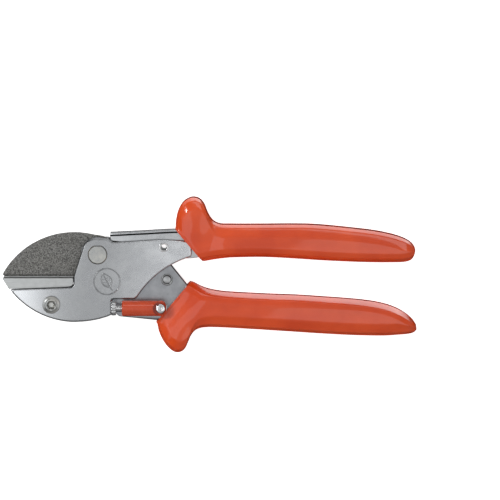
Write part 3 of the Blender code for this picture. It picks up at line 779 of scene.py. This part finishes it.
def pivot_bolt():
    """A flush head with one flat side that keeps the bolt from turning, and a nut behind."""
    outline = flat_sided(PIVOT_HEAD_R, PIVOT_HEAD_FLAT)
    head = plate("head", outline, CHEEK_IN, CHEEK_OUT + 0.15, edge=0.28, segments=4)
    end = -CHEEK_OUT - 3.05
    top = CHEEK_IN + 0.4
    shank = [
        (0, end), (3.2, end), (3.5, end + 0.05),
        *threaded(PIVOT_BOLT_R, end + 0.35, -CHEEK_OUT - NUT_GAP, 1.0, 0.4),
        (PIVOT_BOLT_R, -CHEEK_OUT), (PIVOT_BOLT_R, top), (0, top),
    ]
    bolt = merged("bolt", head, turned("shank", shank, 72))
    place("pivot_bolt_flush", bolt, ZINC, "anvil_lever", "pivot_bolt")
    nut("pivot_nut_hex", "pivot_nut", 13, 2.8, -CHEEK_OUT, PIVOT_BOLT_R, (0, 0), "anvil_lever")


def cheek_rivet():
    """A tube open from side to side, rolled over outside each cheek."""
    seat = CHEEK_OUT + SEAT_GAP
    collar = [
        (RIVET_SHANK_R, -0.1), (2.45, -0.1),
        *fillet(2.45, 0.05, 2.2, 0.28, (2.42, 0.27), 4),
        *fillet(1.8, 0.28, RIVET_BORE_R, -0.1, (1.52, 0.24), 6),
    ]
    front = [(radius, seat + height) for radius, height in collar]
    rear = [(radius, -height) for radius, height in reversed(front)]
    rivet = turned("cheek_rivet", [*rear, *front], 64)
    place("cheek_rivet_tubular", rivet, POLISHED, "anvil_lever", "cheek_rivet", CHEEK_RIVET_AT)


def blade_pin():
    """A pin staked on both sides of the core, with a round groove in its front end."""
    waist = BLADE_HALF + SEAT_GAP
    top = CORE_HALF
    profile = [
        (0, -CORE_HALF), (2.6, -CORE_HALF), (PIN_END_R, -CORE_HALF + 0.25), (PIN_END_R, -waist),
        (PIN_R, -waist), (PIN_R, waist), (PIN_END_R, waist),
        *fillet(PIN_END_R, top - 0.35, 2.62, top - 0.08, (2.88, top - 0.1), 4),
        *fillet(2.5, top - 0.1, 2.2, top - 0.62, (2.2, top - 0.2), 4),
        (2.1, top - 0.66),
        *fillet(1.98, top - 0.55, 1.75, top + 0.04, (1.96, top + 0.02), 4),
        (0, top + 0.05),
    ]
    pin = turned("blade_pin", profile, 64)
    place("blade_pin_ring", pin, PIN_STEEL, "blade_lever", "blade_pin", BLADE_PIN_AT)


# ---- cores


SEAM_TOP = 1.0
SEAM_WIDE = 0.85
SEAM_DEEP = 1.1
SEAM_END = 60


def through(name, outline):
    """A cutter that goes right through the cores."""
    return plate(name, outline, -THROUGH, THROUGH, edge=0.01, segments=1)


def upper_core():
    back = [(6.4, 10.9), (24, 11.8), (40, 12.6), (58, 12.3), (90, 12.0), (120, 11.0), (142, 8.2)]
    back = smooth(back, 8)
    end = [(153.5, 4.6), (154.5, 0.4), (152, -1.2)]
    bottom = smooth([(140, -1.2), (118, -0.2), (90, 1.2), (66, 1.0), (50, -1.7)], 8)
    root = [(60, 0), (47, -2.1, 1.0), (36, -1.8, 1.5), (14, 5.9, 2), (6.4, 6.9, 0.8), (6.4, 9)]
    outline = back + end + bottom + polygon(root)[1:-1]
    folded = set(back[1:])

    def bend(point):
        return 0.9 if point in folded else 0.35

    body = plate("upper_core", outline, -CORE_HALF, CORE_HALF, edge=bend, segments=8)
    hollow = [(x, y - SHEET) for x, y in back]
    hollow = [(-2, hollow[0][1]), *hollow, (151, 3.2), (152, 0), (152, -30), (-2, -30)]
    inside = plate("hollow", hollow, -FLANGE_IN, FLANGE_IN, edge=0.5, segments=3)
    hole = through("hole", circle(CHEEK_RIVET_AT, RIVET_HOLE_R, 48))

    # The seam is a groove along the front flange that holds a near-black strip: painted shade along the bend
    # of the spine.
    upper = [(x - 0.2, y - SEAM_TOP) for x, y in back if x < SEAM_END]
    lower = [(x, y - SEAM_WIDE) for x, y in upper]
    line = [*upper, *reversed(lower)]
    mouth = [(5, upper[0][1]), *line, (5, lower[0][1])]
    bottom = CORE_HALF - SEAM_DEEP
    groove = plate("groove", mouth, bottom, CORE_HALF + 1, edge=0.02, segments=1)
    strip = plate("seam", line, bottom - 0.2, bottom + 0.35, edge=0.05, segments=1)
    place("core_seam_shadow", strip, CREVICE, "anvil_lever")
    shaped = cut(body, inside, hole, groove)
    place("handle_core_upper", shaped, SPINE_NICKEL, "anvil_lever", "upper_core")


def lower_core():
    eye = arc((0, 0), 8.6, 200, 42, 60)
    throat = polygon([(6.4, 5.7), (35.4, -3.6, 1.6), (46.4, -17.4), (47, -18)])[1:-2]
    top = smooth([(46.4, -17.4), (60, -21.6), (90, -23.6), (120, -25.2), (142, -28.2)], 8)
    end = [(154, -32.6), (156, -36.4), (153, -38.2)]
    front = polygon([(31, -34), (10.4, -31.5, 1.2), (4.2, -23.5, 3), (-8.1, -2.9)])[1:-1]
    back = smooth([(142, -38.6), (112, -37.5), (76, -35.3), (52, -34.4), (31.5, -33.8)], 8)
    outline = eye + throat + top + end + back + front
    folded = set(back)

    def bend(point):
        return 1.7 if point in folded else 0.4

    body = plate("lower_core", outline, -CORE_HALF, CORE_HALF, edge=bend, segments=6)
    floor = [(x, y + SHEET) for x, y in reversed(back)]
    hollow = [(-30, -31), (12.5, -29.4), *floor, (152, -36), (153.5, -32), (153.5, 30), (-30, 30)]
    inside = plate("hollow", hollow, -FLANGE_IN, FLANGE_IN, edge=0.4, segments=3)
    holes = [
        through("eye_hole", circle((0, 0), EYE_R, 72)),
        through("pin_hole", circle(BLADE_PIN_AT, CORE_PIN_BORE_R)),
        through("latch_hole", circle(LATCH_AT, LATCH_BORE_R)),
    ]
    shaped = cut(body, inside, *holes)
    place("handle_core_lower", shaped, CORE_NICKEL, "blade_lever", "lower_core")


def blade():
    tail_angle = degrees(atan2(BLADE_PIN_AT[1], BLADE_PIN_AT[0]))
    outline = [
        (-48.1, -10.6),
        *arc((-12.0, -30.9), 41.8, 149.5, 76, 80),
        *arc((0, 0), 9.3, 78, tail_angle + 72, 16),
        *arc(BLADE_PIN_AT, 5.0, tail_angle + 72, tail_angle - 72, 24),
        (9, -9.8),
        (1.0, -10.4),
        (-3.5, BLADE_EDGE_Y),
        (-47.4, BLADE_EDGE_Y),
    ]
    holes = [circle((0, 0), EYE_R), circle(BLADE_PIN_AT, BLADE_PIN_BORE_R)]
    body = plate("blade", outline, -BLADE_HALF, BLADE_HALF, holes, edge=0.14, segments=3)

    # The grinding leaves this half thickness at the edge and fades out this far above it.
    edge_half, ground_high = 0.08, 3.4
    below = BLADE_EDGE_Y - 1
    wedges = []
    for side in (-1, 1):
        ground = [(below, side * edge_half), (below, side * 3), (BLADE_EDGE_Y + ground_high, side * 3)]
        vertices = [(x, y, z) for x in (-60, -4.5) for y, z in ground]
        faces = [(0, 1, 2), (3, 5, 4), (0, 3, 4, 1), (1, 4, 5, 2), (2, 5, 3, 0)]
        wedges.append(mesh_of(f"ground_{side}", vertices, faces))
    shaped = cut(body, *wedges)
    place("blade_coated", shaped, COATING, "blade_lever", "blade")


# ---- latch


RAISED = Matrix.Translation(Vector((0, 0, BARREL_AXIS_Z)))
BARREL_BORE_R = 2.05
BARREL_BORE_END = -5.2
LATCH_BOLT_R = 1.95


def latch_barrel():
    """A painted round bar with a flat back, bored for its bolt and counterbored for its screw."""
    left = 12.4 - LATCH_AT[0]
    right = 34.7 - LATCH_AT[0]
    dome, dome_steps = 2.4, 12
    profile = [(0, left), (2.3, left)]
    profile += fillet(BARREL_R - 0.55, left, BARREL_R, left + 0.75, (BARREL_R - 0.08, left + 0.08), 6)
    for i in range(dome_steps + 1):
        angle = radians(86.4 * i / dome_steps)
        profile.append((BARREL_R * cos(angle) ** 0.55, right - dome + dome * sin(angle)))
    profile.append((0, right))
    barrel = turned("barrel", profile, 72, "X")
    bore = [(0, left - 2), (BARREL_BORE_R, left - 2), (BARREL_BORE_R, BARREL_BORE_END), (0, BARREL_BORE_END)]
    bore = turned("bore", bore, 48, "X")
    for mesh in (barrel, bore):
        mesh.transform(RAISED)
    back = block("back", (-30, -9, 0), (9, 9, BARREL_BACK_Z))
    seat = plate("seat", circle((-0.6, 0.1), 3.25), COUNTERBORE_Z, 20, edge=0.05, segments=2)
    eye = plate("eye", circle((0, 0), 1.66), 0, 20, edge=0.02, segments=1)
    shaped = merged("barrel", cut(barrel, back, seat, eye, bore), weld=0.001)
    place("latch_barrel_painted", shaped, PAINT, "latch", "latch_barrel", LATCH_AT, sharp=40)


def latch_bolt():
    """A knurled head on a threaded neck that goes into the barrel."""
    start = 6.8 - LATCH_AT[0]
    neck = 9.4 - LATCH_AT[0]
    shallow, knurl = 0.02, 0.035
    profile = [
        (0, start + 0.25), (1.1, start + 0.25), (1.35, start + 0.02), (2.9, start),
        (3.35, start + 0.18, shallow), (3.55, start + 0.5, knurl),
        (3.55, neck - 0.5, knurl), (3.35, neck - 0.12, shallow),
        (2.9, neck), (LATCH_BOLT_R, neck),
        *threaded(LATCH_BOLT_R, neck + 0.3, -6.2, 0.62, 0.3),
        (0, -6.0),
    ]
    bolt = turned("bolt", profile, 144, "X", waves=18)
    bolt.transform(RAISED)
    bolt = cut(bolt, block("head_back", (-30, -9, 0), (0, 9, BARREL_BACK_Z)))
    place("latch_bolt_knurled", bolt, POLISHED, "latch", "latch_bolt", LATCH_AT, sharp=28)


def latch_screw():
    """A domed screw with a six-lobed socket, a nut behind the core and a spacer under the barrel."""
    end = -CORE_HALF - 2.9
    seat = COUNTERBORE_Z + SEAT_GAP
    top = COUNTERBORE_Z + 1.9
    lobes = 0.09
    profile = [
        (0, end), (1.2, end),
        *threaded(LATCH_SCREW_R, end + 0.2, -CORE_HALF - NUT_GAP, 0.6, 0.25),
        (LATCH_SCREW_R, seat), (2.4, seat), (2.5, seat + 0.1),
        *fillet(2.5, top - 0.75, 1.5, top - 0.04, (2.45, top - 0.08), 8),
        (1.12, top), (0.98, top - 0.08, lobes * 0.4),
        (0.92, top - 0.25, lobes), (0.9, top - 1.0, lobes), (0, top - 1.1),
    ]
    screw = turned("latch_screw", profile, 72, waves=6)
    place("latch_screw_star", screw, POLISHED, "blade_lever", "latch_screw", LATCH_AT)
    nut("latch_nut_hex", "latch_nut", 5.5, 2.5, -CORE_HALF, LATCH_SCREW_R, LATCH_AT, "blade_lever")
    low, high = CORE_HALF + SEAT_GAP, BARREL_BACK_Z - NUT_GAP
    bore = circle((0, 0), LATCH_BORE_R)
    spacer = plate("spacer", circle((0, 0), 3.4), low, high, [bore], edge=0.3, segments=3)
    place("latch_spacer_ring", spacer, ZINC, "blade_lever", "latch_spacer", LATCH_AT)


def spring():
    """A wound wire: one leg under the upper core's spine, the coil, and one leg on the lower core."""
    layer, wire_r, coil_r, turns, steps = 1.15, 0.44, 3.1, 2.35, 110
    upper = [(38.6, 8.9), (35.3, 8.3), (32.0, 7.7), (28.4, 6.9)]
    lower = [(28.2, -1.1), (30.5, -2.6), (33.7, -4.1), SPRING_END]
    points = smooth([(*p, layer) for p in upper], 4)
    for i in range(steps + 1):
        angle = radians(97 + 360 * turns * i / steps)
        x = SPRING_AT[0] + coil_r * cos(angle)
        y = SPRING_AT[1] + coil_r * sin(angle)
        points.append((x, y, layer - 2 * layer * i / steps))
    points += smooth([(*p, -layer) for p in lower], 4)
    wire = tube("spring", points, wire_r, 14)
    obj = place("opening_spring", wire, POLISHED, None, weighted=False)
    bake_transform(obj)
    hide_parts("spring")


# ---- grips


def eased(share):
    share = min(1, max(0, share))
    return share * share * (3 - 2 * share)


FLAT_SPANS = 5
FRONT_TAPER = 14

# The rolled lip at a grip's front end, as (shift along the grip, growth), and where the lip ends.
LIP = ((0.42, -1.3), (0.12, -0.85), (0.0, -0.4), (0.05, -0.05), (0.3, 0.0), (0.75, 0.0), (1.15, -0.16))
LIP_LONG = 1.3


def half_section(half, thickness, shape):
    """The outline of one long side of a grip, from its front middle round to its rear middle.

    shape is the flat's inset, the crease's inset and drop, the side's drop, and the radii of the flat's
    edge and of the other corners. All of them shrink where the grip is too slim for them.
    """
    flat, crease, crease_drop, side_drop, roll, soften = shape
    fit = min(1, half / (flat + 0.3))
    tall = min(1, thickness / (side_drop + 0.5))
    corners = [
        (0, thickness),
        (half - flat * fit, thickness),
        (half - crease * fit, thickness - crease_drop * tall),
        (half, thickness - side_drop * tall),
    ]
    corners += [(x, -z) for x, z in reversed(corners)]
    points = []
    for index, (before, here, after) in enumerate(zip(corners, corners[1:], corners[2:])):
        a, b, c = Vector(before), Vector(here), Vector(after)
        radius = roll if index in (0, 5) else soften
        turn = (b - a).angle(c - b, 0)
        cut_back = min(radius * tan(turn / 2), (b - a).length * 0.48, (c - b).length * 0.48)
        points += rounded(b, a, c, cut_back, 5)
    across = [points[0][0] * k / FLAT_SPANS for k in range(FLAT_SPANS)]
    front = [(x, thickness) for x in across]
    rear = [(x, -thickness) for x in reversed(across)]
    return front + points + rear


def grip(name, near, far, front_half, dip, near_shape, far_shape, body, replaced):
    """A dipped skin lofted between its two long edges, with a rolled lip at its front end.

    The flats rise from front_half at the front end, and dip is a hollow in them: centre, radii and depth.
    """
    one = smooth(near, 4)
    other = smooth(far, 4)
    last = len(one) - 1
    end_stations = 16
    stations = []
    for i, (a, b) in enumerate(zip(one, other)):
        left = min(1, (last - i) / end_stations)
        thickness = GRIP_HALF * max(0.2, sqrt(max(0, 1 - (1 - left) ** 2.3)))
        stations.append((Vector(a), Vector(b), thickness))
    a0, b0, t0 = stations[0]
    back = ((stations[1][0] - a0) + (stations[1][1] - b0)).normalized()
    across = (b0 - a0).normalized()
    sections = []
    for shift, grow in LIP:
        sections.append((a0 - across * grow + back * shift, b0 + across * grow + back * shift, t0 + grow))
    for a, b, thickness in stations[1:]:
        away = ((a + b) / 2 - (a0 + b0) / 2).dot(back)
        if away < LIP_LONG:
            continue
        inset = 0.3 * exp(-(away - LIP_LONG) / 1.1)
        along = (b - a).normalized()
        sections.append((a + along * inset, b - along * inset, thickness - inset))
    (dip_x, dip_y), (dip_wide, dip_high), dip_deep = dip
    inward = Vector((across.y, -across.x))
    if inward.dot(back) < 0:
        inward.negate()

    def lifted(spot, z):
        rise = eased((spot - a0).dot(inward) / FRONT_TAPER)
        off = ((spot.x - dip_x) / dip_wide) ** 2 + ((spot.y - dip_y) / dip_high) ** 2
        half_here = front_half + (GRIP_HALF - front_half) * rise - dip_deep * exp(-off)
        return (spot.x, spot.y, z * half_here / GRIP_HALF)

    rings = []
    for a, b, thickness in sections:
        middle = (a + b) / 2
        half = (b - a).length / 2
        direction = (b - a).normalized()
        right = half_section(half, thickness, far_shape)
        left = half_section(half, thickness, near_shape)
        ring = right[:-1] + [(-x, z) for x, z in reversed(left)][:-1]
        rings.append([lifted(middle + direction * x, z) for x, z in ring])
    middle = Vector((*((stations[-1][0] + stations[-1][1]) / 2), 0))
    for scale in (0.72, 0.4):
        rings.append([tuple(middle + (Vector(p) - middle) * scale) for p in rings[-1]])
    count = len(rings[0])
    vertices = [v for ring in rings for v in ring]
    faces = [tuple(reversed(range(count)))]
    for level in range(len(rings) - 1):
        faces += band(level * count, (level + 1) * count, count)
    faces.append(tuple(range(len(vertices) - count, len(vertices))))
    mesh = mesh_of(name, vertices, faces)
    place(name, mesh, GRIP, body, replaced, sharp=60, weighted=False)


def grips():
    top = [
        (39.2, 12.8), (39.5, 17.3), (40.6, 21.8), (42.8, 25.8), (45.7, 28.1), (48.8, 28.8), (51.7, 27.8),
        (54.0, 25.0), (55.5, 21.2), (57.9, 17.3), (61.5, 15.3), (67, 15.0), (84, 15.0), (100, 15.1),
        (112, 14.7), (128.5, 13.1), (140.6, 11.6), (149.5, 9.7), (155.0, 7.8), (158.3, 5.9), (160.1, 3.9),
        (160.7, 2.0),
    ]
    bottom = [
        (53.1, -3.6), (53.5, -3.55), (54.0, -3.45), (54.6, -3.35), (55.3, -3.2), (56.1, -3.05), (57.0, -2.9),
        (58.1, -2.7), (59.5, -2.5), (61.4, -2.2), (64.5, -1.85), (69, -1.5), (84, -1.3), (100, -2.1),
        (112, -2.9), (128.5, -3.7), (140.6, -4.0), (149.5, -4.0), (155.0, -3.8), (158.3, -2.9), (160.0, -1.0),
        (160.6, 1.0),
    ]
    near_shape = (4.8, 2.2, 0.9, 4.6, 3.5, 1.2)
    far_shape = (5.8, 1.5, 1.75, 4.6, 6.0, 1.2)
    dip = ((57.5, 11.0), (6.5, 9.0), 1.2)
    grip("grip_upper", bottom, top, 7.5, dip, near_shape, far_shape, "anvil_lever", "upper_grip")

    top = [
        (46.8, -13.8), (47.5, -14.1), (48.3, -14.45), (49.0, -14.8), (49.7, -15.2), (50.5, -15.6),
        (51.4, -16.1), (52.5, -16.6), (54.0, -17.2), (56.2, -17.9), (60, -18.7), (66, -19.4), (84, -20.4),
        (100, -21.0), (112.4, -21.8), (127.5, -22.9), (137.6, -24.0), (145.5, -25.6), (151.5, -27.8),
        (156.0, -30.4), (159.2, -33.1), (161.2, -36.0),
    ]
    bottom = [
        (29.5, -34.4), (30.9, -39.6), (33.2, -44.3), (36.0, -47.8), (39.0, -49.8), (41.8, -49.7),
        (44.1, -47.9), (45.7, -44.5), (47.3, -41.0), (49.8, -38.4), (54, -37.2), (62, -37.2), (80, -38.2),
        (97.2, -39.3), (112.4, -40.3), (127.5, -41.1), (138, -41.4), (146, -41.4), (152, -41.0),
        (156.6, -40.7), (159.9, -40.1), (161.5, -38.7),
    ]
    near_shape = (6.4, 2.0, 1.7, 5.6, 4.0, 1.6)
    far_shape = (5.0, 2.3, 0.9, 6.2, 6.0, 1.0)
    dip = ((49.0, -40.0), (5.0, 6.0), 0.7)
    grip("grip_lower", bottom, top, 5.8, dip, near_shape, far_shape, "blade_lever", "lower_grip")


cheeks()
anvil()
anvil_screw()
pivot_bolt()
cheek_rivet()
blade_pin()
upper_core()
lower_core()
blade()
latch_barrel()
latch_bolt()
latch_screw()
spring()
grips()

bush = frame["nodes"]["pivot_bush"]
bush.data.materials.clear()
bush.data.materials.append(BRONZE)


# ---- floor, light and camera


def floor():
    """A pale floor that the shears don't mirror, just under them."""
    n = Surface("pale_floor")
    grain = n.noise(0.02, 3, 0.5)
    tint = n.mix(n.ranged(grain, 0.3, 0.7, 0, 1), (0.93, 0.93, 0.93), (0.96, 0.96, 0.96))
    material = n.set(Base_Color=tint, Roughness=0.6, Emission_Color=(1.0, 1.0, 1.0), Emission_Strength=0.86)
    reach = 3.0
    corners = [(-reach, -reach, 0), (reach, -reach, 0), (reach, reach, 0), (-reach, reach, 0)]
    mesh = bpy.data.meshes.new("studio_floor")
    mesh.from_pydata(corners, [], [(0, 1, 2, 3)])
    mesh.materials.append(material)
    obj = added("studio_floor", mesh)
    obj.location.z = -0.00005
    obj.visible_glossy = False


def lamp(name, spot, size, power, aim=(0, 0, 0), colour=(1, 1, 1), mirrored=True):
    """A soft panel, in metres and watts. One that isn't mirrored leaves no reflection in the metal."""
    light = bpy.data.lights.new(name, "AREA")
    light.shape = "RECTANGLE"
    light.size, light.size_y = size
    light.energy = power
    light.color = colour
    obj = added(name, light)
    obj.location = spot
    obj.rotation_euler = (Vector(aim) - Vector(spot)).to_track_quat("-Z", "Y").to_euler()
    obj.visible_camera = False
    obj.visible_glossy = mirrored


# The surroundings that the metal mirrors, as (share of the way up from straight down, grey).
SKY = (
    (0.0, 0.03), (0.025, 0.04), (0.055, 0.8), (0.27, 0.7), (0.36, 0.05),
    (0.5, 0.15), (0.62, 0.3), (0.82, 0.2), (0.94, 0.38), (1.0, 0.5),
)
SKY_TINT = (1, 1.01, 1.02)
LOW = -0.25


def studio():
    world = bpy.data.worlds.new("studio")
    bpy.context.scene.world = world
    world.use_nodes = True
    n = Nodes(world.node_tree)
    seen = n.tree.nodes["Background"]
    seen.inputs["Color"].default_value = (1, 1, 1, 1)
    seen.inputs["Strength"].default_value = 1.0
    x, y, z = n.split(n.coordinates["Generated"])
    # Low down only the back is lit, and everything to the left is dimmer.
    low = n.maths("LESS_THAN", z, LOW)
    backdrop = n.maths("MULTIPLY_ADD", n.ranged(y, 0.35, 0.6, 0, 2.9), low, n.maths("SUBTRACT", 1, low))
    mirrored = n.new("Background")
    n.feed(n.ramp(n.ranged(z, -1, 1, 0, 1), SKY, SKY_TINT), mirrored.inputs["Color"])
    n.feed(n.maths("MULTIPLY", backdrop, n.ranged(x, -0.5, -0.15, 0.3, 1)), mirrored.inputs["Strength"])
    mixer = n.new("MixShader")
    n.feed(n.new("LightPath").outputs["Is Camera Ray"], mixer.inputs["Fac"])
    n.feed(mirrored.outputs["Background"], mixer.inputs[1])
    n.feed(seen.outputs["Background"], mixer.inputs[2])
    n.feed(mixer.outputs["Shader"], n.tree.nodes["World Output"].inputs["Surface"])

    lamp("jaw_panel", (-0.24, -0.03, 0.30), (0.20, 0.36), 0.19, (-0.11, -0.01, 0), (0.97, 0.99, 1.0))
    lamp("tail_panel", (0.20, -0.06, 0.34), (0.22, 0.34), 0.15, (0.05, 0, 0))
    lamp("upper_left_key", (-0.50, 0.30, 0.62), (0.3, 0.3), 1.95, mirrored=False)
    lamp("front_fill", (-0.05, -0.60, 0.50), (0.9, 0.3), 0.15, mirrored=False)
    lamp("back_fill", (0.10, 0.60, 0.55), (0.9, 0.16), 0.75)
    lamp("glint", (-0.58, 0.27, 0.62), (0.12, 0.12), 0.9)


def camera():
    """A long lens almost straight above, tilted a little to the back. width is what it sees across."""
    tilt = radians(5.5)
    distance = 2.0
    width = 0.2525
    target = Vector((0.0203, 0.0130, PIVOT.z + CHEEK_OUT * MM))
    back = Vector((0, sin(tilt), cos(tilt)))
    data = bpy.data.cameras.new("camera")
    data.sensor_width = 36
    data.lens = data.sensor_width * distance / width
    data.clip_end = 20
    obj = added("camera", data)
    obj.location = target + back * distance
    obj.rotation_euler.x = -tilt
    bpy.context.scene.camera = obj
    bpy.context.scene.view_settings.view_transform = "Standard"


floor()
studio()
camera()

bpy.context.view_layer.update()
